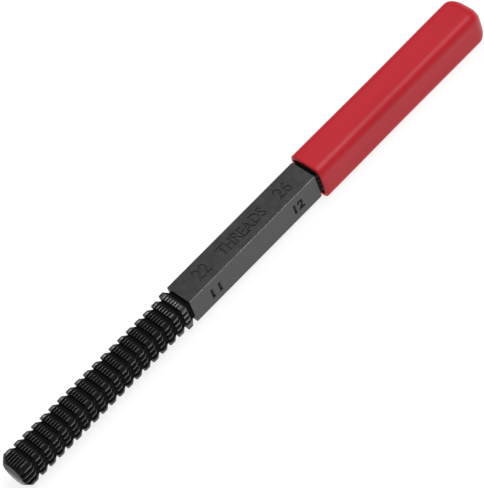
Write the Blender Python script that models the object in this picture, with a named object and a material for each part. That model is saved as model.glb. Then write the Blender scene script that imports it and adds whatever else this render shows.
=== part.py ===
"""Double-ended thread restoring file with a pull-off vinyl sleeve.

The bar lies along X with its stamped face up. Each end is grooved lengthwise, one thread pitch to a face,
and cut across by gullets that leave an end block and a row of cutting rings. The sleeve covers the +X end.
The origin is under the middle of the whole object, on the surface that the sleeve lies on.
"""

import math

import bmesh
import bpy

MM = 0.001
INCH = 25.4 * MM

# Bar
BAR_SIDE = 10.2 * MM
PLAIN_LENGTH = 58.5 * MM
PLAIN_EDGE_BEVEL = 0.25 * MM
CORNER_CHAMFER = 1.05 * MM

# Cutting rings and the gullets between them
RING_COUNT = 18
RING_LAND = 1.75 * MM
END_BLOCK_LAND = 4.35 * MM
GULLET_DEPTH = 1.25 * MM
GULLET_SLOPE_RUN = 1.58 * MM
GULLET_FLOOR = 0.55 * MM

# Thread grooves: threads per inch on each face, in the order +Y, +Z, -Y, -Z
NEAR_THREADS = (18, 22, 11, 14)
FAR_THREADS = (20, 26, 12, 16)
THREAD_DEPTH_PER_PITCH = 0.64
GROOVE_ABOVE_GULLET = 0.10 * MM
EDGE_FLAT = 0.25 * MM
RUN_OUT_DEPTH_SHARE = 0.5

# Turned nose on both ends
NOSE_FACE_DIAMETER = 9.0 * MM
NOSE_HALF_ANGLE = math.radians(45)
NOSE_SEGMENTS = 32

# Sleeve
SLEEVE_WALL = 1.55 * MM
SLEEVE_END_WALL = 3.95 * MM
SLEEVE_FIT_GAP = 0.30 * MM
SLEEVE_END_GAP = 0.36 * MM
SLEEVE_MOUTH_SETBACK = 1.0 * MM
SLEEVE_CORNER_RADIUS = 2.8 * MM
SLEEVE_POCKET_RADIUS = 1.3 * MM
SLEEVE_END_RADIUS = 5.5 * MM
SLEEVE_LIP_RADIUS = 0.4 * MM
CORNER_SEGMENTS = 6
ROUNDEST = 0.98
ARC_STEPS = 8

# How far cutters reach past the steel
CUT_MARGIN = 0.5 * MM

# Worked out from the sizes above
RING_PITCH = RING_LAND + GULLET_SLOPE_RUN + GULLET_FLOOR
END_BLOCK_LENGTH = END_BLOCK_LAND + GULLET_SLOPE_RUN + GULLET_FLOOR
TOOTHED_LENGTH = END_BLOCK_LENGTH + RING_COUNT * RING_PITCH
HALF_SIDE = BAR_SIDE / 2
HALF_PLAIN = PLAIN_LENGTH / 2
NECK_HALF = HALF_SIDE - GULLET_DEPTH
SLEEVE_POCKET_SIDE = BAR_SIDE + 2 * SLEEVE_FIT_GAP
SLEEVE_SIDE = SLEEVE_POCKET_SIDE + 2 * SLEEVE_WALL
SLEEVE_REACH = TOOTHED_LENGTH + SLEEVE_END_GAP + SLEEVE_END_WALL
AXIS_HEIGHT = SLEEVE_SIDE / 2
BAR_MIDDLE_X = (TOOTHED_LENGTH - SLEEVE_REACH) / 2

# Tangent and normal of each face of the bar, as (y, z), in turning order about +X
FACE_DIRECTIONS = (
    ((0, 1), (1, 0)),
    ((-1, 0), (0, 1)),
    ((0, -1), (-1, 0)),
    ((1, 0), (0, -1)),
)


def clear_scene():
    """Remove every object, so that the model starts from nothing."""
    for item in list(bpy.data.objects):
        bpy.data.objects.remove(item, do_unlink=True)


def make_material(name, colour, roughness, metallic):
    """Return a Principled material."""
    material = bpy.data.materials.new(name)
    material.use_nodes = True
    shader = material.node_tree.nodes["Principled BSDF"]
    shader.inputs["Base Color"].default_value = (*colour, 1.0)
    shader.inputs["Roughness"].default_value = roughness
    shader.inputs["Metallic"].default_value = metallic
    return material


def add_object(name, bm, material=None):
    """Put a finished bmesh into the scene as a named object at the bar's middle."""
    bmesh.ops.recalc_face_normals(bm, faces=bm.faces)
    mesh = bpy.data.meshes.new(name)
    bm.to_mesh(mesh)
    bm.free()
    item = bpy.data.objects.new(name, mesh)
    item.location = (BAR_MIDDLE_X, 0, AXIS_HEIGHT)
    bpy.context.scene.collection.objects.link(item)
    if material:
        mesh.materials.append(material)
    return item


def bridge(bm, first, second):
    """Join two loops of equal vertex count with quads."""
    for i in range(len(first)):
        j = (i + 1) % len(first)
        bm.faces.new((first[i], first[j], second[j], second[i]))


def loft(bm, rings, closed=False):
    """Join rings of equal point count with quads, and cap or close the run."""
    loops = [[bm.verts.new(point) for point in ring] for ring in rings]
    pairs = list(zip(loops, loops[1:]))
    if closed:
        pairs.append((loops[-1], loops[0]))
    else:
        bm.faces.new(loops[0])
        bm.faces.new(loops[-1])
    for first, second in pairs:
        bridge(bm, first, second)


def square_ring(x, half):
    """Return the four corners of a square across the bar at x."""
    return [(x, half, half), (x, -half, half), (x, -half, -half), (x, half, -half)]


def groove_profile(threads, depth_share):
    """Return (distance along the face, depth) at each crest and root of one face's grooves."""
    pitch = INCH / threads
    usable = BAR_SIDE - 2 * (CORNER_CHAMFER + EDGE_FLAT)
    count = int(usable / pitch)
    full_depth = min(THREAD_DEPTH_PER_PITCH * pitch, GULLET_DEPTH - GROOVE_ABOVE_GULLET)
    depths = (0.0, full_depth * depth_share)
    return [((i - count) * pitch / 2, depths[i % 2]) for i in range(2 * count + 1)]


def face_point_count(threads):
    """Return how many outline points one face of this thread has."""
    return len(groove_profile(threads, 0.0)) + 2


def bar_outline(chamfer, threads, depth_share=0.0):
    """Return the bar's outline as (y, z) points: chamfered corners and grooved faces."""
    flat_half = HALF_SIDE - chamfer
    points = []
    for number, (tangent, normal) in enumerate(FACE_DIRECTIONS):
        for along, depth in [(-flat_half, 0.0), *groove_profile(threads[number], depth_share), (flat_half, 0.0)]:
            out = HALF_SIDE - depth
            points.append((tangent[0] * along + normal[0] * out, tangent[1] * along + normal[1] * out))
    return points


def blank_sections(threads):
    """Return one end's outlines with their distances from the bar's middle, shoulder first.

    The outline changes only above a gullet's floor, where the gullet is cut afterwards.
    """
    before, after = GULLET_FLOOR / 4, 3 * GULLET_FLOOR / 4
    ring_two = HALF_PLAIN + RING_PITCH
    plain = bar_outline(PLAIN_EDGE_BEVEL, threads)
    run_out = bar_outline(PLAIN_EDGE_BEVEL, threads, RUN_OUT_DEPTH_SHARE)
    toothed = bar_outline(CORNER_CHAMFER, threads, 1.0)
    return [
        (HALF_PLAIN + before, plain),
        (HALF_PLAIN + after, run_out),
        (ring_two + before, run_out),
        (ring_two + after, toothed),
        (HALF_PLAIN + TOOTHED_LENGTH, toothed),
    ]


def bar_blank():
    """Return a bmesh of the whole bar before its gullets and noses are cut."""
    bm = bmesh.new()
    first_loops = []
    for side, threads in ((-1, NEAR_THREADS), (1, FAR_THREADS)):
        loops = [[bm.verts.new((side * x, y, z)) for y, z in outline] for x, outline in blank_sections(threads)]
        first_loops.append(loops[0])
        for first, second in zip(loops, loops[1:]):
            bridge(bm, first, second)
        bm.faces.new(loops[-1])
    near_loop, far_loop = first_loops
    near_start = far_start = 0
    for number in range(len(FACE_DIRECTIONS)):
        near_stop = near_start + face_point_count(NEAR_THREADS[number])
        far_stop = far_start + face_point_count(FAR_THREADS[number])
        bm.faces.new(near_loop[near_start:near_stop] + far_loop[far_start:far_stop][::-1])
        corner = (near_loop[near_stop - 1], near_loop[near_stop % len(near_loop)],
                  far_loop[far_stop % len(far_loop)], far_loop[far_stop - 1])
        bm.faces.new(corner)
        near_start, far_start = near_stop, far_stop
    return bm


def gullet_starts():
    """Return how far behind the shoulder each gullet's steep face stands, shoulder first."""
    return [number * RING_PITCH for number in range(RING_COUNT + 1)]


def gullet_cutter(name, side):
    """Return one end's gullets: square frames with a steep face to the middle and a sloped face to the tip."""
    bm = bmesh.new()
    outer = HALF_SIDE + CUT_MARGIN
    slope_reach = GULLET_SLOPE_RUN * (outer - NECK_HALF) / GULLET_DEPTH
    for start in gullet_starts():
        steep = side * (HALF_PLAIN + start)
        foot = side * (HALF_PLAIN + start + GULLET_FLOOR)
        top = side * (HALF_PLAIN + start + GULLET_FLOOR + slope_reach)
        rings = [
            square_ring(steep, NECK_HALF),
            square_ring(steep, outer),
            square_ring(top, outer),
            square_ring(foot, NECK_HALF),
        ]
        loft(bm, rings, closed=True)
    return add_object(name, bm)


def nose_cutter(name, side):
    """Return a turned ring whose inner cone chamfers one end of the bar."""
    bm = bmesh.new()
    tip = HALF_PLAIN + TOOTHED_LENGTH
    rise = math.tan(NOSE_HALF_ANGLE)
    start = tip + CUT_MARGIN
    near_radius = NOSE_FACE_DIAMETER / 2 - CUT_MARGIN * rise
    far_radius = BAR_SIDE
    back = start - (far_radius - near_radius) / rise
    profile = [(start, near_radius), (back, far_radius), (start, far_radius)]
    rings = []
    for step in range(NOSE_SEGMENTS):
        angle = 2 * math.pi * (step + 0.5) / NOSE_SEGMENTS
        rings.append([(side * x, r * math.cos(angle), r * math.sin(angle)) for x, r in profile])
    loft(bm, rings, closed=True)
    return add_object(name, bm)


def cut(target, tool):
    """Cut target with a hidden tool object."""
    modifier = target.modifiers.new(f"cut {tool.name}", "BOOLEAN")
    modifier.operation = "DIFFERENCE"
    modifier.object = tool
    modifier.solver = "EXACT"
    tool.parent = target
    tool.matrix_parent_inverse = target.matrix_world.inverted()
    tool.hide_render = True
    tool.display_type = "WIRE"


def build_bar(material):
    """Build the steel bar: a grooved blank with a plain middle, then its gullets and noses cut."""
    bar = add_object("file_bar", bar_blank(), material)
    bpy.context.view_layer.update()
    for label, side in (("near", -1), ("far", 1)):
        cut(bar, gullet_cutter(f"{label}_gullet_cutter", side))
        cut(bar, nose_cutter(f"{label}_nose_cutter", side))
    return bar


def rounded_square(x, side, radius):
    """Return a square with rounded corners across the bar at x."""
    centre = side / 2 - radius
    points = []
    for corner in range(4):
        start = corner * math.pi / 2
        sign_y = 1 if corner in (0, 3) else -1
        sign_z = 1 if corner in (0, 1) else -1
        for step in range(CORNER_SEGMENTS + 1):
            angle = start + step * math.pi / 2 / CORNER_SEGMENTS
            y = sign_y * centre + radius * math.cos(angle)
            z = sign_z * centre + radius * math.sin(angle)
            points.append((x, y, z))
    return points


def sleeve_end_rings(x_end):
    """Return the rings that round the sleeve over from its sides to its closed end."""
    rings = []
    for step in range(ARC_STEPS + 1):
        angle = step * math.pi / 2 / ARC_STEPS
        pull_in = SLEEVE_END_RADIUS * (1 - math.cos(angle))
        x = x_end - SLEEVE_END_RADIUS * (1 - math.sin(angle))
        side = SLEEVE_SIDE - 2 * pull_in
        rings.append(rounded_square(x, side, min(SLEEVE_CORNER_RADIUS, ROUNDEST * side / 2)))
    return rings


def pocket_rings(pocket_end, mouth):
    """Return the rings of the pocket, deepest first: a cone over the bar's nose and then a square tube."""
    face_side = NOSE_FACE_DIAMETER + 2 * SLEEVE_FIT_GAP
    corner_reach = math.sqrt(2) * (SLEEVE_POCKET_SIDE / 2 - SLEEVE_POCKET_RADIUS) + SLEEVE_POCKET_RADIUS
    slope = math.tan(NOSE_HALF_ANGLE)
    round_x = pocket_end - (SLEEVE_POCKET_SIDE - face_side) / 2 / slope
    square_x = pocket_end - (corner_reach - face_side / 2) / slope
    return [
        rounded_square(pocket_end, face_side, ROUNDEST * face_side / 2),
        rounded_square(round_x, SLEEVE_POCKET_SIDE, ROUNDEST * SLEEVE_POCKET_SIDE / 2),
        rounded_square(square_x, SLEEVE_POCKET_SIDE, SLEEVE_POCKET_RADIUS),
        rounded_square(mouth, SLEEVE_POCKET_SIDE, SLEEVE_POCKET_RADIUS),
    ]


def build_sleeve(material):
    """Build the vinyl sleeve: a square pocket, a rounded lip and a closed, rounded end."""
    mouth = HALF_PLAIN + SLEEVE_MOUTH_SETBACK
    x_end = HALF_PLAIN + SLEEVE_REACH
    pocket_end = x_end - SLEEVE_END_WALL
    lip_side = SLEEVE_SIDE - 2 * SLEEVE_LIP_RADIUS
    rings = [
        *pocket_rings(pocket_end, mouth),
        rounded_square(mouth, lip_side, SLEEVE_CORNER_RADIUS - SLEEVE_LIP_RADIUS),
        rounded_square(mouth + SLEEVE_LIP_RADIUS, SLEEVE_SIDE, SLEEVE_CORNER_RADIUS),
        *sleeve_end_rings(x_end),
    ]
    bm = bmesh.new()
    loft(bm, rings)
    sleeve = add_object("grip_sleeve", bm, material)
    sleeve.data.shade_smooth()
    sleeve.data.set_sharp_from_angle(angle=math.radians(40))
    return sleeve


def main():
    """Build the file."""
    clear_scene()
    build_bar(make_material("black_oxide_steel", (0.040, 0.040, 0.041), 0.45, 0.6))
    build_sleeve(make_material("red_vinyl", (0.56, 0.035, 0.05), 0.35, 0.0))


main()
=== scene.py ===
"""Looks of a double-ended thread restoring file: a black oxide steel bar and a red vinyl grip sleeve."""

from __future__ import annotations

import logging
import math
from dataclasses import dataclass, field
from enum import Enum
from typing import Sequence

import bmesh
import bpy
import numpy as np
from mathutils import Matrix, Vector

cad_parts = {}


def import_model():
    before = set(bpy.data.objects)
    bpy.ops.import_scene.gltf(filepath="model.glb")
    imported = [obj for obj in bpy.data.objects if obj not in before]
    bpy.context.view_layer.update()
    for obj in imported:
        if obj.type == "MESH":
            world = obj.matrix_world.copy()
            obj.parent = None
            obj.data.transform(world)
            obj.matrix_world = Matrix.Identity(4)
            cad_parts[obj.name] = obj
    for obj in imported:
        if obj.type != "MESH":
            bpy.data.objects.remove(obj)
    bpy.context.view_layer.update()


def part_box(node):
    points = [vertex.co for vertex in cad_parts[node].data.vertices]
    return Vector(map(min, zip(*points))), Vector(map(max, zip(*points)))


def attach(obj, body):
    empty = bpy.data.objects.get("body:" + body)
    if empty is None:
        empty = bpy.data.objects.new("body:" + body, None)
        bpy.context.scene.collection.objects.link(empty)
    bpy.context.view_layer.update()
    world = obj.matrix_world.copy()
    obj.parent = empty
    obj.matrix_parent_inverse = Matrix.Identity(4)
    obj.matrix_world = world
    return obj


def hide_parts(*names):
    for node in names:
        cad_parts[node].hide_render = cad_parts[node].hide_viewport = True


LOG = logging.getLogger("thread_file")
MM = 0.001
INCH = 25.4 * MM
MERGE_DISTANCE = 1e-6
SLACK = 0.01 * MM  # how far a vertex may lie from a plane and still count as on it
ROUNDEST = 0.49  # the largest corner radius as a share of the width, which leaves a sliver of flat

Colour = tuple[float, float, float, float]
Socket = bpy.types.NodeSocket
Span = float | np.ndarray


class Face(Enum):
    """The bar's faces in turning order about +X, each as its tangent and its outward normal in (y, z)."""

    LEFT = ((0.0, 1.0), (1.0, 0.0))
    TOP = ((-1.0, 0.0), (0.0, 1.0))
    RIGHT = ((0.0, -1.0), (-1.0, 0.0))
    UNDER = ((1.0, 0.0), (0.0, -1.0))

    @property
    def tangent(self) -> np.ndarray:
        """Return the direction in which the outline runs along this face."""
        return np.array(self.value[0])

    @property
    def normal(self) -> np.ndarray:
        """Return the direction that this face looks in."""
        return np.array(self.value[1])


class BarEnd(Enum):
    """The two toothed ends; the value is the direction along X."""

    NEAR = -1.0
    FAR = 1.0


# ---------------------------------------------------------------- shared mesh work


def rounded_path(corners: np.ndarray, reach: np.ndarray, steps: int) -> np.ndarray:
    """Round the corners of an open path.

    Each inner corner becomes a parabola that leaves one side and joins the other at the corner's reach:
    the points are (1 - t)^2 a + 2 t (1 - t) corner + t^2 b, for t from 0 to 1.

    Args:
        corners: The path's points, first and last included, as rows.
        reach: How far from each inner corner its rounding starts.
        steps: How many pieces each rounding has.

    Returns:
        The rounded path's points, as rows.
    """
    before, corner, after = corners[:-2], corners[1:-1], corners[2:]
    back = before - corner
    ahead = after - corner
    back_length = np.linalg.norm(back, axis=1, keepdims=True)
    ahead_length = np.linalg.norm(ahead, axis=1, keepdims=True)
    start = corner + back * (reach[:, None] / back_length)
    stop = corner + ahead * (reach[:, None] / ahead_length)
    t = np.linspace(0, 1, steps + 1)[None, :, None]
    curve = (1 - t) ** 2 * start[:, None] + 2 * t * (1 - t) * corner[:, None] + t**2 * stop[:, None]
    return np.vstack([corners[:1], curve.reshape(-1, corners.shape[1]), corners[-1:]])


def tube_faces(rows: int, columns: int, first: int = 0) -> np.ndarray:
    """Return the quads of a grid that closes on itself across each row.

    Args:
        rows: How many stations the tube has.
        columns: How many points each station has.
        first: The index of the grid's first vertex.

    Returns:
        One row of four vertex indices for each quad.
    """
    row, column = np.meshgrid(np.arange(rows - 1), np.arange(columns), indexing="ij")
    here = first + row * columns + column
    beside = first + row * columns + (column + 1) % columns
    return np.stack([here, beside, beside + columns, here + columns], axis=-1).reshape(-1, 4)


def fan_faces(loop: np.ndarray, centre: int) -> np.ndarray:
    """Return the triangles that close a loop of vertices onto one centre vertex."""
    return np.stack([loop, np.roll(loop, -1), np.full(len(loop), centre)], axis=-1)


def finish_mesh(mesh: bpy.types.Mesh, sharp_degrees: float) -> None:
    """Merge doubles, turn every face outwards and shade smooth up to an angle.

    Args:
        mesh: The mesh to finish in place.
        sharp_degrees: Edges that bend more than this stay sharp.
    """
    bm = bmesh.new()
    bm.from_mesh(mesh)
    bmesh.ops.remove_doubles(bm, verts=bm.verts, dist=MERGE_DISTANCE)
    bmesh.ops.dissolve_degenerate(bm, edges=bm.edges, dist=MERGE_DISTANCE)
    bmesh.ops.recalc_face_normals(bm, faces=bm.faces)
    bm.to_mesh(mesh)
    bm.free()
    mesh.shade_smooth()
    mesh.set_sharp_from_angle(angle=math.radians(sharp_degrees))


def read_rows(items: bpy.types.bpy_prop_collection, name: str) -> np.ndarray:
    """Return a vector that each vertex or face has, such as its place or its normal, as rows."""
    values = np.empty(len(items) * 3)
    items.foreach_get(name, values)
    return values.reshape(-1, 3)


def new_object(name: str, mesh: bpy.types.Mesh) -> bpy.types.Object:
    """Link a mesh into the scene as an object at the origin."""
    item = bpy.data.objects.new(name, mesh)
    bpy.context.scene.collection.objects.link(item)
    return item


# ---------------------------------------------------------------- materials


class NodeTree:
    """A small helper that adds shader nodes and links them.

    A Mix node repeats its socket names for each kind of data, so its colour sockets go by number.
    """

    MIX_SHARE, MIX_FIRST, MIX_SECOND, MIX_RESULT = 0, 6, 7, 2

    def __init__(self, name: str) -> None:
        """Start a material with an empty Principled shader.

        Args:
            name: The material's name.
        """
        self.material = bpy.data.materials.new(name)
        self.material.use_nodes = True
        self.nodes = self.material.node_tree.nodes
        self.links = self.material.node_tree.links
        self.shader = self.nodes["Principled BSDF"]

    def add(self, kind: str, inputs: dict | None = None, **settings: object) -> bpy.types.Node:
        """Add a node.

        Args:
            kind: The node's type name, without its ShaderNode prefix.
            inputs: Values or sockets for its inputs, by name or number.
            **settings: Attributes of the node itself.

        Returns:
            The new node.
        """
        node = self.nodes.new(f"ShaderNode{kind}")
        for key, value in settings.items():
            setattr(node, key, value)
        for key, value in (inputs or {}).items():
            self.feed(node, key, value)
        return node

    def feed(self, node: bpy.types.Node, key: str | int, value: object) -> None:
        """Link a socket to an input, or set the input's value."""
        if isinstance(value, Socket):
            self.links.new(value, node.inputs[key])
        else:
            node.inputs[key].default_value = value

    def noise(self, vector: Socket, scale: float, detail: float, roughness: float = 0.5) -> Socket:
        """Return the value of a noise texture read at a vector."""
        inputs = {"Vector": vector, "Scale": scale, "Detail": detail, "Roughness": roughness}
        return self.add("TexNoise", inputs).outputs["Fac"]

    def spread(self, value: Socket, low: float, high: float, to_low: float, to_high: float) -> Socket:
        """Return a value carried from one range to another, and held inside it."""
        inputs = {"Value": value, "From Min": low, "From Max": high, "To Min": to_low, "To Max": to_high}
        return self.add("MapRange", inputs, clamp=True).outputs["Result"]

    def stretched(self, scale: tuple[float, float, float]) -> Socket:
        """Return object coordinates stretched along the axes."""
        place = self.add("TexCoord").outputs["Object"]
        return self.add("Mapping", {"Vector": place, "Scale": scale}).outputs["Vector"]

    def bump(self, height: Socket, strength: float, distance: float, under: Socket | None = None) -> Socket:
        """Return a normal bent by a height, on top of another one if given."""
        inputs = {"Height": height, "Strength": strength, "Distance": distance}
        if under is not None:
            inputs["Normal"] = under
        return self.add("Bump", inputs).outputs["Normal"]

    def mix(self, share: object, first: object, second: object) -> Socket:
        """Return a colour between two colours."""
        node = self.add("Mix", data_type="RGBA")
        self.feed(node, self.MIX_SHARE, share)
        self.feed(node, self.MIX_FIRST, first)
        self.feed(node, self.MIX_SECOND, second)
        return node.outputs[self.MIX_RESULT]


def grey(level: float) -> Colour:
    """Return an opaque grey."""
    return (level, level, level, 1.0)


@dataclass(frozen=True)
class BlackOxide:
    """Satin black oxide over ground steel.

    It turns a lighter grey of rubbed steel where the wear_and_painted_highlight attribute says so; on the
    lower part of the end faces this is a painted highlight. It is darker, rougher and less shiny where the
    oxide_and_painted_shade attribute says so: painted shade, which in the hollows also stands for oil and
    thicker oxide.
    """

    name: str = "black_oxide_steel"
    dark: Colour = (0.010, 0.010, 0.0105, 1.0)
    light: Colour = (0.017, 0.017, 0.0175, 1.0)
    # the lighter grey of rubbed steel, also used as a painted highlight on the lower part of the end faces
    worn_and_lit: Colour = (0.36, 0.36, 0.36, 1.0)
    # deep: the colour of the painted shade in the hollows, on the facets and inside the sleeve
    deep: Colour = (0.004, 0.004, 0.004, 1.0)
    wear_and_highlight_attribute: str = "wear_and_painted_highlight"
    oxide_and_painted_shade_attribute: str = "oxide_and_painted_shade"
    ior: float = 1.62
    roughness: float = 0.26

    def build(self) -> bpy.types.Material:
        """Return the material."""
        tree = NodeTree(self.name)
        place = tree.stretched((1.0, 1.0, 1.0))
        lengthwise = tree.stretched((0.06, 1.0, 1.0))
        mottle = tree.noise(place, 350.0, 6.0, 0.6)
        grain = tree.noise(lengthwise, 9000.0, 3.0, 0.6)
        specks = tree.noise(place, 1600.0, 2.0)
        wear_and_painted_highlight = tree.add("Attribute", attribute_name=self.wear_and_highlight_attribute).outputs["Fac"]
        patches = tree.spread(specks, 0.40, 0.62, 0.35, 1.0)
        patchy = tree.add("Math", {0: wear_and_painted_highlight, 1: patches}, operation="MULTIPLY").outputs[0]
        oxide_and_painted_shade = tree.add("Attribute", attribute_name=self.oxide_and_painted_shade_attribute).outputs["Fac"]
        base = tree.mix(tree.spread(mottle, 0.3, 0.7, 0.0, 1.0), self.dark, self.light)
        # painted shade: the colour turns towards the deep colour where the shade attribute is high
        base = tree.mix(tree.spread(oxide_and_painted_shade, 0.1, 0.9, 0.0, 1.0), base, self.deep)
        colour = tree.mix(patchy, base, self.worn_and_lit)
        rough = tree.spread(mottle, 0.25, 0.75, self.roughness - 0.03, self.roughness + 0.05)
        dulling = tree.spread(oxide_and_painted_shade, 0.1, 0.9, 0.0, 0.25)
        rough = tree.add("Math", {0: rough, 1: dulling}, operation="ADD").outputs[0]
        normal = tree.bump(grain, 0.25, 0.02 * MM)
        normal = tree.bump(mottle, 0.2, 0.05 * MM, normal)
        tree.feed(tree.shader, "Base Color", colour)
        tree.feed(tree.shader, "Roughness", rough)
        tree.feed(tree.shader, "Normal", normal)
        tree.feed(tree.shader, "Metallic", tree.spread(patchy, 0.5, 1.0, 0.0, 0.8))
        # painted shade: the reflection is weakened where the shade attribute is high
        tree.feed(tree.shader, "Specular IOR Level", tree.spread(oxide_and_painted_shade, 0.1, 0.9, 0.5, 0.08))
        tree.feed(tree.shader, "IOR", self.ior)
        return tree.material


@dataclass(frozen=True)
class StampShadow:
    """Painted shade on the rough, unpolished steel inside the stamps: their walls, or their bottoms where
    those are dark.
    """

    name: str = "stamped_black"
    # painted shade: the dark colours and weak reflection inside the stamps
    base: Colour = (0.006, 0.006, 0.006, 1.0)
    raised: Colour = (0.02, 0.02, 0.02, 1.0)
    specular: float = 0.15

    def build(self) -> bpy.types.Material:
        """Return the material."""
        tree = NodeTree(self.name)
        place = tree.stretched((1.0, 1.0, 1.0))
        grit = tree.noise(place, 4000.0, 3.0)
        colour = tree.mix(tree.spread(grit, 0.4, 0.7, 0.0, 1.0), self.base, self.raised)
        tree.feed(tree.shader, "Base Color", colour)
        tree.feed(tree.shader, "Roughness", tree.spread(grit, 0.3, 0.7, 0.5, 0.75))
        tree.feed(tree.shader, "Normal", tree.bump(grit, 0.5, 0.05 * MM))
        tree.feed(tree.shader, "Specular IOR Level", self.specular)
        return tree.material


@dataclass(frozen=True)
class RedVinyl:
    """Dip-moulded vinyl: a soft gloss over a faint orange peel and slow ripples along the dip."""

    name: str = "red_vinyl"
    base: Colour = (0.60, 0.022, 0.036, 1.0)
    deep: Colour = (0.55, 0.019, 0.031, 1.0)
    roughness: float = 0.34
    ior: float = 1.5
    specular: float = 0.18

    def build(self) -> bpy.types.Material:
        """Return the material."""
        tree = NodeTree(self.name)
        place = tree.stretched((1.0, 1.0, 1.0))
        lengthwise = tree.stretched((0.25, 1.0, 1.0))
        cloud = tree.noise(lengthwise, 120.0, 3.0)
        ripple = tree.noise(lengthwise, 420.0, 2.0)
        peel = tree.noise(place, 2600.0, 2.0)
        colour = tree.mix(tree.spread(cloud, 0.35, 0.65, 0.0, 1.0), self.base, self.deep)
        tree.feed(tree.shader, "Base Color", colour)
        rough = tree.spread(cloud, 0.3, 0.7, self.roughness - 0.04, self.roughness + 0.06)
        tree.feed(tree.shader, "Roughness", rough)
        normal = tree.bump(ripple, 0.35, 0.10 * MM)
        tree.feed(tree.shader, "Normal", tree.bump(peel, 0.25, 0.01 * MM, normal))
        tree.feed(tree.shader, "IOR", self.ior)
        tree.feed(tree.shader, "Specular IOR Level", self.specular)
        return tree.material


@dataclass(frozen=True)
class PaleFloor:
    """A white light table: a matt sheet that glows a little, so that shadows stay faint."""

    name: str = "pale_floor"
    base: Colour = (0.24, 0.24, 0.24, 1.0)
    second: Colour = (0.23, 0.23, 0.23, 1.0)
    glow: float = 0.84
    roughness: float = 0.9
    specular: float = 0.1

    def build(self) -> bpy.types.Material:
        """Return the material."""
        tree = NodeTree(self.name)
        cloud = tree.noise(tree.stretched((1.0, 1.0, 1.0)), 30.0, 2.0)
        tree.feed(tree.shader, "Base Color", tree.mix(cloud, self.base, self.second))
        tree.feed(tree.shader, "Roughness", self.roughness)
        tree.feed(tree.shader, "Specular IOR Level", self.specular)
        tree.feed(tree.shader, "Emission Color", grey(1.0))
        tree.feed(tree.shader, "Emission Strength", self.glow)
        return tree.material


# ---------------------------------------------------------------- the steel bar


@dataclass(frozen=True)
class BarSizes:
    """Sizes shared by the toothed ends and the plain middle, in metres."""

    side: float
    middle_x: float
    axis_z: float
    plain_length: float = 58.5 * MM
    plain_edge: float = 0.15 * MM
    corner_chamfer: float = 1.05 * MM
    ring_count: int = 18
    ring_land: float = 1.75 * MM
    block_land: float = 4.35 * MM
    gullet_depth: float = 1.25 * MM
    slope_run: float = 1.58 * MM
    floor_run: float = 0.55 * MM
    thread_depth_per_pitch: float = 0.64
    groove_above_gullet: float = 0.10 * MM
    edge_flat: float = 0.25 * MM
    nose_radius: float = 4.5 * MM

    @property
    def half_side(self) -> float:
        """Return half the bar's width across flats."""
        return self.side / 2

    @property
    def half_plain(self) -> float:
        """Return the distance from the bar's middle to a shoulder."""
        return self.plain_length / 2

    @property
    def ring_pitch(self) -> float:
        """Return the spacing of the cutting rings."""
        return self.ring_land + self.slope_run + self.floor_run

    @property
    def toothed_length(self) -> float:
        """Return the length from a shoulder to the tip."""
        return self.block_land + self.slope_run + self.floor_run + self.ring_count * self.ring_pitch


@dataclass(frozen=True)
class RunOut:
    """How far the grooves have faded on a ring beside the shoulder.

    The lift is the share of the full groove depth that is missing. The chamfer is the size of the corner
    facets there, and the bulge is how far they swell towards the square corner, from 0 to 1.
    """

    lift: float
    chamfer: float
    bulge: float


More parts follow.
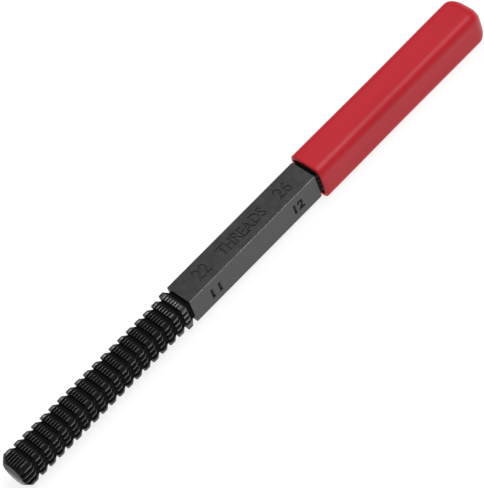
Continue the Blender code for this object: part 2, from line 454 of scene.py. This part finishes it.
@dataclass
class ToothedEnd:
    """One toothed end: grooved lengthwise on four faces and cut across by gullets."""

    sizes: BarSizes
    end: BarEnd
    threads: dict[Face, int]
    round_steps: int = 2
    face_points: int = 49
    corner_points: int = 5
    nose_stations: int = 8
    shoulder_round: float = 0.12 * MM
    edge_round: float = 0.07 * MM
    fillet: float = 0.24 * MM
    crown_round: float = 0.30 * MM
    nose_lead: float = 1.02
    run_outs: dict[int, RunOut] = field(init=False)

    def __post_init__(self) -> None:
        """Fill in how the grooves fade: -1 is the shoulder itself, 0 the ring beside it and 1 the next."""
        full = self.sizes.corner_chamfer
        edge = self.sizes.plain_edge
        self.run_outs = {
            -1: RunOut(1.0, edge, 1.0),
            0: RunOut(0.42, edge, 0.8),
            1: RunOut(0.10, 0.85 * full, 0.15),
        }

    def profile(self) -> np.ndarray:
        """Work out the gullets' outline along the bar.

        From the shoulder outwards, each gullet drops down its steep face, crosses its floor and climbs its
        slope to the next ring's land. Its corners are rounded by parabolas. The nose's own stations start
        where the cone meets the bar's corners, with a little lead.

        Returns:
            Rows of (distance from the shoulder, depth below the face).
        """
        s = self.sizes
        start = np.arange(s.ring_count + 1)[:, None] * s.ring_pitch
        across = np.array([0.0, 0.0, s.floor_run, s.floor_run + s.slope_run])[None, :]
        depth = np.array([0.0, s.gullet_depth, s.gullet_depth, 0.0])
        inner = np.stack([(start + across).ravel(), np.tile(depth, s.ring_count + 1)], axis=-1)
        reach = np.tile([self.edge_round, self.fillet, self.fillet, self.crown_round], s.ring_count + 1)
        reach[0] = self.shoulder_round
        begin = [-3 * self.shoulder_round, 0.0]
        nose = s.toothed_length - self.nose_lead * (s.side * math.sqrt(0.5) - s.nose_radius)
        path = rounded_path(np.vstack([begin, inner, [nose, 0.0]]), reach, self.round_steps)
        tip = np.linspace(nose, s.toothed_length, self.nose_stations + 1)[1:]
        return np.vstack([path, np.stack([tip, np.zeros_like(tip)], axis=-1)])

    def fading(self, distance: np.ndarray) -> np.ndarray:
        """Return rows of (lift, chamfer, bulge), one for each distance from the shoulder."""
        s = self.sizes
        ring = np.floor((distance - s.floor_run / 2) / s.ring_pitch).astype(int)
        full = RunOut(0.0, s.corner_chamfer, 0.0)
        picked = [self.run_outs.get(number, full) for number in ring.tolist()]
        return np.array([(p.lift, p.chamfer, p.bulge) for p in picked])

    def groove_depths(self, face: Face, lift: np.ndarray) -> tuple[np.ndarray, np.ndarray]:
        """Work out one face's thread form.

        A Whitworth form is within a hundredth of a pitch of a cosine: depth is half the full depth times
        (1 - cos(2 pi distance / pitch)), counted from a crest. Fading lowers it, which leaves flat crests.

        Args:
            face: The face to groove.
            lift: The share of the full depth by which each station's grooves have faded.

        Returns:
            Distances along the face, and depths as one row for each station.
        """
        s = self.sizes
        pitch = INCH / self.threads[face]
        count = int((s.side - 2 * (s.corner_chamfer + s.edge_flat)) / pitch)
        full = min(s.thread_depth_per_pitch * pitch, s.gullet_depth - s.groove_above_gullet)
        along = np.linspace(-count * pitch / 2, count * pitch / 2, self.face_points)
        form = full * (1 - np.cos(2 * math.pi * (along - along[0]) / pitch)) / 2
        return along, np.maximum(form[None, :] - full * lift[:, None], 0.0)

    def outlines(self, distance: np.ndarray) -> tuple[np.ndarray, np.ndarray]:
        """Return the uncut bar's outline at each station, as arrays of y and of z."""
        half = self.sizes.half_side
        lift, chamfer, bulge = self.fading(distance).T
        t = np.linspace(0, 1, self.corner_points)[None, :, None]
        parts = []
        for face in Face:
            along, depth = self.groove_depths(face, lift)
            flat = along[None, :, None] * face.tangent + (half - depth)[:, :, None] * face.normal
            start = (half - chamfer)[:, None] * face.tangent + half * face.normal
            stop = half * face.tangent + (half - chamfer)[:, None] * face.normal
            middle = (start + stop) / 2
            control = middle + bulge[:, None] * (half * (face.tangent + face.normal) - middle)
            corner = (1 - t) ** 2 * start[:, None] + 2 * t * (1 - t) * control[:, None] + t**2 * stop[:, None]
            parts += [flat, corner]
        outline = np.concatenate(parts, axis=1)
        return outline[..., 0], outline[..., 1]

    def surface(self) -> np.ndarray:
        """Work out the end's surface.

        Each station is the bar's outline, held inside the square that the gullet leaves there, and inside
        the circle of the turned nose: a 45 degree cone down to the flat end face.

        Returns:
            Points as an array of stations by outline points by (x, y, z), shoulder first.
        """
        s = self.sizes
        distance, depth = self.profile().T
        y, z = self.outlines(distance)
        inside = (s.half_side - depth)[:, None]
        y = np.clip(y, -inside, inside)
        z = np.clip(z, -inside, inside)
        radius = np.hypot(y, z)
        cone = s.nose_radius + (s.toothed_length - distance)[:, None]
        shrink = np.minimum(1.0, cone / radius)
        x = s.middle_x + self.end.value * (s.half_plain + distance)
        return np.stack([np.broadcast_to(x[:, None], y.shape), y * shrink, z * shrink + s.axis_z], axis=-1)


@dataclass
class Stamp:
    """A number or word stamped into the plain middle.

    The depth is how far the letters reach into the steel, and as far out of it. The weight thickens their
    strokes, the taper slopes their walls and the slab is how thick they are before they are scaled, all as
    shares of the font's own size.
    """

    text: str
    face: Face
    centre_x: float
    length: float
    height: float
    drop: float = 0.0
    depth: float = 0.24 * MM
    weight: float = 0.0
    taper: float = 0.03
    dark_floor: bool = False
    slab: float = 0.02
    curve_steps: int = 3
    level_cosine: float = 0.9

    def cutter(self, sizes: BarSizes, materials: Sequence[bpy.types.Material]) -> bpy.types.Object:
        """Make the solid letters that cut this stamp.

        Args:
            sizes: The bar's sizes.
            materials: The bar's materials; the letters use the second.

        Returns:
            The cutter, standing through the face.
        """
        curve = bpy.data.curves.new(f"stamp_{self.text}", "FONT")
        curve.body = self.text
        curve.align_x = "CENTER"
        curve.align_y = "CENTER"
        curve.resolution_u = self.curve_steps
        curve.offset = self.weight - self.taper / 2
        curve.extrude = self.slab
        curve.bevel_depth = self.taper
        curve.bevel_resolution = 0
        holder = new_object(f"stamp_{self.text}_letters", curve)
        bpy.context.view_layer.update()
        graph = bpy.context.evaluated_depsgraph_get()
        mesh = bpy.data.meshes.new_from_object(holder.evaluated_get(graph))
        bpy.data.objects.remove(holder)
        points = read_rows(mesh.vertices, "co")
        low, high = points.min(axis=0), points.max(axis=0)
        share = (points - (low + high) / 2) / (high - low)
        up = -self.face.tangent
        rise = sizes.half_side + self.depth * share[:, 2] * 2
        across = share[:, 1] * self.height - self.drop
        placed = np.empty_like(points)
        placed[:, 0] = sizes.middle_x + self.centre_x + share[:, 0] * self.length
        placed[:, 1] = up[0] * across + self.face.normal[0] * rise
        placed[:, 2] = up[1] * across + self.face.normal[1] * rise + sizes.axis_z
        mesh.vertices.foreach_set("co", placed.ravel())
        mesh.materials.clear()
        for material in materials:
            mesh.materials.append(material)
        finish_mesh(mesh, sharp_degrees=30.0)
        level = np.abs(read_rows(mesh.polygons, "normal")[:, 1:] @ self.face.normal) > self.level_cosine
        # the faces that get the painted-shade material: the walls, or the bottoms where dark_floor is set
        mesh.polygons.foreach_set("material_index", (level == self.dark_floor).astype(np.int32))
        return new_object(f"stamp_{self.text}_cutter", mesh)


@dataclass
class FileBar:
    """The whole steel bar: two toothed ends and the stamped plain middle, as one closed skin.

    The shades are shares of the full painted shade, which in the hollows also stands for oil and thicker
    oxide, and the wears are shares of the full lightening, from rubbing and, on the end faces, painted
    highlight. A border is the ungrooved strip beside a corner facet.
    """

    sizes: BarSizes
    ends: Sequence[ToothedEnd]
    stamps: Sequence[Stamp]
    # shares of painted shade on the facets and cone, inside the sleeve and on the borders
    facet_painted_shade: float = 0.80
    sleeve_painted_shade: float = 0.6
    border_painted_shade: float = 0.45
    border: float = 0.45 * MM
    groove_band: float = 0.30 * MM
    gullet_dark_from: float = 0.60
    gullet_dark_over: float = 0.3
    tip_lead: float = 0.1
    crest_wear: float = 0.40
    crest_band: float = 0.10 * MM
    sheltered_wear: float = 0.2
    bevel_margin: float = 1.2
    oxide: BlackOxide = BlackOxide()
    stamped: StampShadow = StampShadow()

    def middle(
        self, near: np.ndarray, far: np.ndarray, materials: Sequence[bpy.types.Material]
    ) -> bpy.types.Mesh:
        """Make the plain middle between two outlines, closed at both ends, and cut the stamps into it.

        Args:
            near: The outline at the near shoulder, as rows of (x, y, z).
            far: The outline at the far shoulder, point for point.
            materials: The bar's materials.

        Returns:
            The middle's mesh, with its two end faces.
        """
        count = len(near)
        mesh = bpy.data.meshes.new("plain_middle")
        faces = [list(range(count)), list(range(count, 2 * count))]
        face_points, corner_points = self.ends[0].face_points, self.ends[0].corner_points
        for quarter in range(len(Face)):
            start = quarter * (face_points + corner_points)
            flat = np.arange(start - 1, start + face_points + 1) % count
            faces.append(flat.tolist() + (flat[::-1] + count).tolist())
            corner = start + face_points + np.arange(corner_points - 1)
            faces += np.stack([corner, corner + 1, corner + 1 + count, corner + count], axis=-1).tolist()
        mesh.from_pydata(np.vstack([near, far]).tolist(), [], faces)
        finish_mesh(mesh, sharp_degrees=30.0)
        for material in materials:
            mesh.materials.append(material)
        block = new_object("plain_middle", mesh)
        cutters = [stamp.cutter(self.sizes, materials) for stamp in self.stamps]
        for cutter in cutters:
            modifier = block.modifiers.new(cutter.name, "BOOLEAN")
            modifier.object = cutter
            modifier.operation = "DIFFERENCE"
            modifier.solver = "EXACT"
        bpy.context.view_layer.update()
        graph = bpy.context.evaluated_depsgraph_get()
        cut = bpy.data.meshes.new_from_object(block.evaluated_get(graph))
        for item in (block, *cutters):
            bpy.data.objects.remove(item)
        return cut

    def wear_and_painted_highlight(self, points: np.ndarray) -> np.ndarray:
        """Work out how worn each vertex is.

        The toothed ends are rubbed bright on their crests, inside the borders, where these lie close below
        the bar's flats, and the lower part of their end faces gets a painted highlight. The plain middle is
        rubbed along its edges. The sleeve has kept most of the rubbing from the end inside it.

        Args:
            points: Vertex positions, as rows.

        Returns:
            One value from 0 to 1 for each vertex.
        """
        s = self.sizes
        y = np.abs(points[:, 1])
        z = np.abs(points[:, 2] - s.axis_z)
        from_middle = np.abs(points[:, 0] - s.middle_x)
        toothed = from_middle > s.half_plain
        tip = from_middle > s.half_plain + s.toothed_length - SLACK
        sheltered = points[:, 0] > s.middle_x + s.half_plain
        crest = np.clip(1 - (s.half_side - np.maximum(y, z)) / self.crest_band, 0, 1)
        edge = np.sqrt(np.clip(1 - (s.half_side - np.minimum(y, z)) / s.plain_edge, 0, 1))
        crest = np.where(np.minimum(y, z) < s.half_side - s.corner_chamfer - self.border, crest, 0.0)
        # painted highlight: lighter towards the bottom of each end face
        low = np.clip((s.axis_z - points[:, 2]) / s.nose_radius, 0, 1)
        worn_and_lit = np.where(tip, low, np.where(toothed, self.crest_wear * crest, edge))
        return np.where(sheltered, self.sheltered_wear * worn_and_lit, worn_and_lit)

    def oxide_and_painted_shade(self, points: np.ndarray) -> np.ndarray:
        """Work out how far each vertex is sheltered.

        The value is painted shade, which in the grooves and gullets also stands for oil and thicker oxide. In
        a thread groove it grows with the depth below the crests of its own station, and is full at the groove
        band. In a gullet it grows over the deepest part, from a share of the gullet's depth. On the corner
        facets and the nose's cone it is a fixed share of painted shade, which the end face loses downwards,
        so that its upper part is painted darker, and on the borders it is at least a smaller one. The end
        inside the sleeve gets painted shade all over, and the plain middle none. Steep faces hold several
        stations at one distance, so each station is moved on by a nanometre more than the last, to keep them
        in rising order.

        Args:
            points: Vertex positions, as rows.

        Returns:
            One value from 0 to 1 for each vertex.
        """
        s = self.sizes
        y = np.abs(points[:, 1])
        z = np.abs(points[:, 2] - s.axis_z)
        along = np.abs(points[:, 0] - s.middle_x) - s.half_plain
        distance, depth = self.ends[0].profile().T
        nanometre = 1e-9
        station = np.interp(along, distance + nanometre * np.arange(len(distance)), depth)
        reach = np.maximum(y, z)
        groove = np.clip((s.half_side - station - reach) / self.groove_band, 0, 1)
        facet = np.minimum(y, z) > s.half_side - s.corner_chamfer - 2 * SLACK
        bordering = np.minimum(y, z) > s.half_side - s.corner_chamfer - self.border
        # painted shade on the borders and the corner facets
        groove = np.where(bordering, np.maximum(groove, self.border_painted_shade), groove)
        groove = np.where(facet, self.facet_painted_shade, groove)
        gullet = (station / s.gullet_depth - self.gullet_dark_from) / self.gullet_dark_over
        gullet = np.clip(gullet, 0, 1)
        from_tip = s.toothed_length - along
        cone = np.hypot(y, z) > s.nose_radius + from_tip - 2 * SLACK
        # painted shade on the nose's cone, and in the grooves and gullets, where it also stands for oil and
        # thicker oxide
        shade = np.where(cone, self.facet_painted_shade, np.maximum(groove, gullet))
        # painted shade on the end faces: darker towards the top
        low = np.clip((s.axis_z - points[:, 2]) / s.nose_radius + self.tip_lead, 0, 1)
        shade = np.where(from_tip < SLACK, self.facet_painted_shade * (1 - low), shade)
        # painted shade over the end inside the sleeve
        shade = np.where(points[:, 0] > s.middle_x, np.maximum(shade, self.sleeve_painted_shade), shade)
        return np.where(along > -SLACK, shade, 0.0)

    def flatten_middle(self, mesh: bpy.types.Mesh) -> None:
        """Shade the plain middle flat, apart from its narrow edge bevels."""
        s = self.sizes
        from_axis = np.abs(read_rows(mesh.polygons, "center") - (s.middle_x, 0.0, s.axis_z))
        plain = from_axis[:, 0] < s.half_plain - self.ends[0].shoulder_round
        bevel = from_axis[:, 1:].min(axis=1) > s.half_side - self.bevel_margin * s.plain_edge
        mesh.polygons.foreach_set("use_smooth", ~plain | bevel)

    def build(self) -> bpy.types.Object:
        """Build the bar and return its object.

        The middle's two end faces are left out, and the toothed ends carry on from their outlines.
        """
        materials = [self.oxide.build(), self.stamped.build()]
        grids = {part.end: part.surface() for part in self.ends}
        cut = self.middle(grids[BarEnd.NEAR][0], grids[BarEnd.FAR][0], materials)
        points = [read_rows(cut.vertices, "co")]
        shoulders = [grids[end][0, 0, 0] for end in (BarEnd.NEAR, BarEnd.FAR)]
        faces, slots = [], []
        for polygon in cut.polygons:
            x = points[0][list(polygon.vertices), 0]
            if not any(np.all(np.abs(x - place) < MERGE_DISTANCE) for place in shoulders):
                faces.append(list(polygon.vertices))
                slots.append(polygon.material_index)
        first = len(points[0])
        for end, grid in grids.items():
            rows, columns, _ = grid.shape
            tip = np.array([[grid[-1, 0, 0], 0.0, self.sizes.axis_z]])
            points += [grid.reshape(-1, 3), tip]
            centre = first + rows * columns
            last_row = np.arange(centre - columns, centre)
            new = tube_faces(rows, columns, first).tolist() + fan_faces(last_row, centre).tolist()
            faces += new
            slots += [0] * len(new)
            first = centre + 1
        bpy.data.meshes.remove(cut)
        mesh = bpy.data.meshes.new("steel_bar")
        mesh.from_pydata(np.vstack(points).tolist(), [], faces)
        for material in materials:
            mesh.materials.append(material)
        mesh.polygons.foreach_set("material_index", np.array(slots, np.int32))
        finish_mesh(mesh, sharp_degrees=38.0)
        self.flatten_middle(mesh)
        placed = read_rows(mesh.vertices, "co")
        measures = {
            self.oxide.wear_and_highlight_attribute: self.wear_and_painted_highlight(placed),
            self.oxide.oxide_and_painted_shade_attribute: self.oxide_and_painted_shade(placed),
        }
        for name, values in measures.items():
            attribute = mesh.attributes.new(name, "FLOAT", "POINT")
            attribute.data.foreach_set("value", values.astype(np.float32))
        return new_object("steel_bar", mesh)


# ---------------------------------------------------------------- the sleeve


def station_rows(x: Span, side: Span, radius: Span, hollow: Span = 0.0) -> np.ndarray:
    """Return stations of the sleeve as rows of (x, side, corner radius, hollow)."""
    return np.stack(np.broadcast_arrays(x, side, radius, hollow), axis=-1)


@dataclass
class GripSleeve:
    """The vinyl sleeve: a rounded square tube with a soft lip, a faint waist and a closed, domed end."""

    side: float
    axis_z: float
    mouth_x: float
    end_x: float
    pocket_side: float
    nose_side: float
    pocket_end_x: float
    corner_radius: float = 2.8 * MM
    pocket_radius: float = 1.0 * MM
    end_radius: float = 5.5 * MM
    lip_radius: float = 0.55 * MM
    dome: float = 0.5 * MM
    waist: float = 0.08 * MM
    hollow: float = 0.05 * MM
    arc_points: int = 13
    flat_points: int = 8
    pocket_rows: int = 4
    lip_rows: int = 9
    body_rows: int = 48
    bend_rows: int = 22
    finish: RedVinyl = RedVinyl()

    def outline(self, side: np.ndarray, radius: np.ndarray, hollow: np.ndarray) -> np.ndarray:
        """Work out rounded squares.

        Each quarter is an arc about the corner's centre and then a flat, sunk in its middle by the hollow
        times 1 - (distance / half flat)^2.

        Args:
            side: Width across flats, one for each station.
            radius: Corner radius, one for each station.
            hollow: How far the flats sink, one for each station.

        Returns:
            An array of stations by points by (y, z).
        """
        centre = side / 2 - radius
        angle = np.linspace(0, math.pi / 2, self.arc_points)
        share = np.linspace(1, -1, self.flat_points + 2)[1:-1]
        arc_y = centre[:, None] + radius[:, None] * np.cos(angle)
        arc_z = centre[:, None] + radius[:, None] * np.sin(angle)
        flat_y = centre[:, None] * share
        flat_z = (side / 2)[:, None] - hollow[:, None] * (1 - share**2)
        y = np.hstack([arc_y, flat_y])
        z = np.hstack([arc_z, flat_z])
        quarters = [(y, z), (-z, y), (-y, -z), (z, -y)]
        return np.concatenate([np.stack(q, axis=-1) for q in quarters], axis=1)

    def pocket(self) -> np.ndarray:
        """Return the pocket's stations: a cone-shaped bottom, round at first, that opens into the square."""
        reach = math.sqrt(2) * (self.pocket_side / 2 - self.pocket_radius) + self.pocket_radius
        round_x = self.pocket_end_x - (self.pocket_side - self.nose_side) / 2
        square_x = self.pocket_end_x - (reach - self.nose_side / 2)
        straight_x = np.linspace(square_x, self.mouth_x + self.lip_radius / 2, self.pocket_rows)
        bottom_x = np.array([self.pocket_end_x, round_x])
        bottom_side = np.array([self.nose_side, self.pocket_side])
        bottom = station_rows(bottom_x, bottom_side, ROUNDEST * bottom_side)
        return np.vstack([bottom, station_rows(straight_x, self.pocket_side, self.pocket_radius)])

    def lip(self) -> np.ndarray:
        """Return the lip's stations: half an ellipse from the pocket's wall round to the outside."""
        wall = (self.side - self.pocket_side) / 2
        turn = np.linspace(0.0, math.pi, self.lip_rows)
        out = wall / 2 * (1 - np.cos(turn))
        x = self.mouth_x + self.lip_radius * (1 - np.sin(turn))
        radius = self.pocket_radius + (self.corner_radius - self.pocket_radius) * (out / wall)
        return station_rows(x, self.pocket_side + 2 * out, radius)

    def body(self) -> np.ndarray:
        """Return the outside's stations, whose waist and hollow are deepest halfway along."""
        along = np.linspace(0.02, 1.0, self.body_rows)
        run = self.end_x - self.end_radius - self.mouth_x - self.lip_radius
        x = self.mouth_x + self.lip_radius + along * run
        dip = np.sin(math.pi * along) ** 2
        return station_rows(x, self.side - 2 * self.waist * dip, self.corner_radius, self.hollow * dip)

    def closed_end(self) -> np.ndarray:
        """Return the closed end's stations: a quarter turn of the wall, and then a shallow dome."""
        bend = np.linspace(0.0, math.pi / 2, self.bend_rows)[1:]
        x = self.end_x - self.dome - (self.end_radius - self.dome) * (1 - np.sin(bend))
        side = self.side - 2 * self.end_radius * (1 - np.cos(bend))
        radius = np.minimum(self.corner_radius, ROUNDEST * side)
        shrink = np.array([0.75, 0.5, 0.25])
        dome = station_rows(self.end_x - self.dome * shrink**2, side[-1] * shrink, radius[-1] * shrink)
        return np.vstack([station_rows(x, side, radius), dome])

    def build(self) -> bpy.types.Object:
        """Build the sleeve, from the pocket's end out of the mouth and over the outside, as one skin."""
        stations = np.vstack([self.pocket(), self.lip(), self.body(), self.closed_end()])
        x, side, radius, hollow = stations.T
        outline = self.outline(side, radius, hollow)
        rows, columns, _ = outline.shape
        grid = np.concatenate([np.broadcast_to(x[:, None, None], (rows, columns, 1)), outline], axis=-1)
        grid[..., 2] += self.axis_z
        ends = np.array([[x[0], 0.0, self.axis_z], [self.end_x, 0.0, self.axis_z]])
        total = rows * columns
        first_loop = np.arange(columns)
        faces = tube_faces(rows, columns).tolist()
        faces += fan_faces(first_loop, total).tolist()
        faces += fan_faces(first_loop + total - columns, total + 1).tolist()
        mesh = bpy.data.meshes.new("vinyl_sleeve")
        mesh.from_pydata(np.vstack([grid.reshape(-1, 3), ends]).tolist(), [], faces)
        mesh.materials.append(self.finish.build())
        finish_mesh(mesh, sharp_degrees=50.0)
        return new_object("vinyl_sleeve", mesh)


# ---------------------------------------------------------------- floor, light and camera


@dataclass(frozen=True)
class SoftBox:
    """A rectangular studio light that looks at the object."""

    name: str
    direction: tuple[float, float, float]
    distance: float
    width: float
    height: float
    power: float

    def build(self, target: Vector) -> None:
        """Hang the light in its direction from the target, and turn it to face it."""
        data = bpy.data.lights.new(self.name, "AREA")
        data.shape = "RECTANGLE"
        data.size = self.width
        data.size_y = self.height
        data.energy = self.power
        lamp = bpy.data.objects.new(self.name, data)
        away = Vector(self.direction).normalized()
        lamp.location = target + away * self.distance
        lamp.rotation_euler = away.to_track_quat("Z", "Y").to_euler()
        bpy.context.scene.collection.objects.link(lamp)


@dataclass(frozen=True)
class View:
    """The camera, described by how the bar's axis lies in its picture.

    The middle of the bar lies ahead of the picture's centre along its axis, and aside of it. The drift turns
    the axis a little away from the slant.
    """

    distance: float = 1.104
    lens: float = 258.2
    sensor: float = 36.0
    tilt: float = math.radians(17.35)
    roll: float = math.radians(35.76)
    slant: float = math.radians(45.0)
    drift: float = -0.0031
    ahead: float = 1.37 * MM
    aside: float = 0.106 * MM

    def build(self, axis_point: Vector) -> None:
        """Place the camera.

        The bar's axis leans away from the picture plane by the tilt, towards the sleeve. The bar is turned
        about its axis by the roll, which says how much of the top and of the right face shows. In the
        picture the axis runs up to the right at the slant.

        Args:
            axis_point: The middle of the bar's axis.
        """
        along = Vector((1, 0, 0))
        side = Vector((0, -math.cos(self.roll), -math.sin(self.roll)))
        near = Vector((0, -math.sin(self.roll), math.cos(self.roll)))
        flat = along * math.cos(self.tilt) + near * math.sin(self.tilt)
        right_along = flat * math.cos(self.drift) - side * math.sin(self.drift)
        right_across = flat * math.sin(self.drift) + side * math.cos(self.drift)
        depth = along * math.sin(self.tilt) - near * math.cos(self.tilt)
        right = right_along * math.cos(self.slant) + right_across * math.sin(self.slant)
        up = right_along * math.sin(self.slant) - right_across * math.cos(self.slant)
        place = axis_point - along * self.ahead - depth * self.distance - right_across * self.aside
        data = bpy.data.cameras.new("camera")
        data.sensor_fit = "VERTICAL"
        data.sensor_height = self.sensor
        data.lens = self.lens
        camera = bpy.data.objects.new("camera", data)
        turn = Matrix((right, up, -depth)).transposed().to_4x4()
        camera.matrix_world = Matrix.Translation(place) @ turn
        bpy.context.scene.collection.objects.link(camera)
        bpy.context.scene.camera = camera


@dataclass
class Studio:
    """A pale floor under soft light."""

    floor_size: float = 6.0
    floor_gap: float = 0.05 * MM
    horizon: float = 0.12
    zenith: float = 0.47
    boxes: Sequence[SoftBox] = (
        SoftBox("overhead_box", (0.30, 0.00, 0.95), 1.3, 1.2, 0.50, 11.0),
        SoftBox("front_box", (0.30, -0.74, 0.60), 1.3, 1.2, 0.24, 0.4),
    )

    def lay_floor(self) -> None:
        """Lay the floor just below the object's underside, so that the two never share a plane."""
        half = self.floor_size / 2
        level = -self.floor_gap
        mesh = bpy.data.meshes.new("floor")
        corners = [(-half, -half, level), (half, -half, level), (half, half, level), (-half, half, level)]
        mesh.from_pydata(corners, [], [(0, 1, 2, 3)])
        mesh.materials.append(PaleFloor().build())
        new_object("floor", mesh)

    def set_sky(self) -> None:
        """Light the scene with a white sky whose strength is horizon + (zenith - horizon) z^2."""
        world = bpy.data.worlds.new("studio")
        world.use_nodes = True
        nodes, links = world.node_tree.nodes, world.node_tree.links
        background = nodes["Background"]
        background.inputs["Color"].default_value = grey(1.0)
        place = nodes.new("ShaderNodeTexCoord")
        parts = nodes.new("ShaderNodeSeparateXYZ")
        links.new(place.outputs["Generated"], parts.inputs["Vector"])
        square = nodes.new("ShaderNodeMath")
        square.operation = "MULTIPLY"
        links.new(parts.outputs["Z"], square.inputs[0])
        links.new(parts.outputs["Z"], square.inputs[1])
        strength = nodes.new("ShaderNodeMath")
        strength.operation = "MULTIPLY_ADD"
        links.new(square.outputs[0], strength.inputs[0])
        strength.inputs[1].default_value = self.zenith - self.horizon
        strength.inputs[2].default_value = self.horizon
        links.new(strength.outputs[0], background.inputs["Strength"])
        bpy.context.scene.world = world

    def build(self, target: Vector) -> None:
        """Lay the floor, hang the lights and set the sky.

        Args:
            target: The point that the lights look at.
        """
        self.lay_floor()
        for box in self.boxes:
            box.build(target)
        self.set_sky()
        bpy.context.scene.view_settings.view_transform = "Standard"


# ---------------------------------------------------------------- putting it together


def bar_from_frame() -> FileBar:
    """Return the bar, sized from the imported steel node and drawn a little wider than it."""
    low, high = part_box("file_bar")
    widening = 0.08 * MM
    side = high.z - low.z + widening
    sizes = BarSizes(side=side, middle_x=(low.x + high.x) / 2, axis_z=(low.z + high.z) / 2)
    near = {Face.LEFT: 18, Face.TOP: 22, Face.RIGHT: 11, Face.UNDER: 14}
    far = {Face.LEFT: 20, Face.TOP: 26, Face.RIGHT: 12, Face.UNDER: 16}
    ends = (
        ToothedEnd(sizes, BarEnd.NEAR, near),
        ToothedEnd(sizes, BarEnd.FAR, far, round_steps=1, edge_round=0.05 * MM),
    )
    bold = {"weight": 0.03, "depth": 0.35 * MM, "dark_floor": True}
    stamps = (
        Stamp("22", Face.TOP, -18.5 * MM, 5.6 * MM, 5.0 * MM),
        Stamp("THREADS", Face.TOP, 0.05 * MM, 20.5 * MM, 4.6 * MM),
        Stamp("26", Face.TOP, 19.3 * MM, 6.0 * MM, 5.0 * MM),
        Stamp("11", Face.RIGHT, -18.7 * MM, 4.6 * MM, 4.3 * MM, drop=0.4 * MM, **bold),
        Stamp("12", Face.RIGHT, 20.0 * MM, 4.6 * MM, 4.3 * MM, **bold),
    )
    return FileBar(sizes, ends, stamps)


def sleeve_from_frame() -> GripSleeve:
    """Return the sleeve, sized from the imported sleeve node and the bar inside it."""
    low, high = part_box("grip_sleeve")
    bar_low, bar_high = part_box("file_bar")
    pocket_gap = 0.3 * MM
    tip_gap = 0.36 * MM
    return GripSleeve(
        side=high.z - low.z,
        axis_z=(low.z + high.z) / 2,
        mouth_x=low.x,
        end_x=high.x,
        pocket_side=bar_high.z - bar_low.z + 2 * pocket_gap,
        nose_side=2 * (BarSizes.nose_radius + pocket_gap),
        pocket_end_x=bar_high.x + tip_gap,
    )


def main() -> None:
    logging.basicConfig(level=logging.INFO, format="%(name)s: %(message)s")
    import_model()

    bar = bar_from_frame()
    steel = bar.build()
    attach(steel, "bar")
    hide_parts("file_bar")
    LOG.info("%s: %d faces", steel.name, len(steel.data.polygons))

    sleeve = sleeve_from_frame().build()
    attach(sleeve, "sleeve")
    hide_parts("grip_sleeve")
    LOG.info("%s: %d faces", sleeve.name, len(sleeve.data.polygons))

    middle = Vector((bar.sizes.middle_x, 0.0, bar.sizes.axis_z))
    Studio().build(middle)
    View().build(middle)


if __name__ == "__main__":
    main()
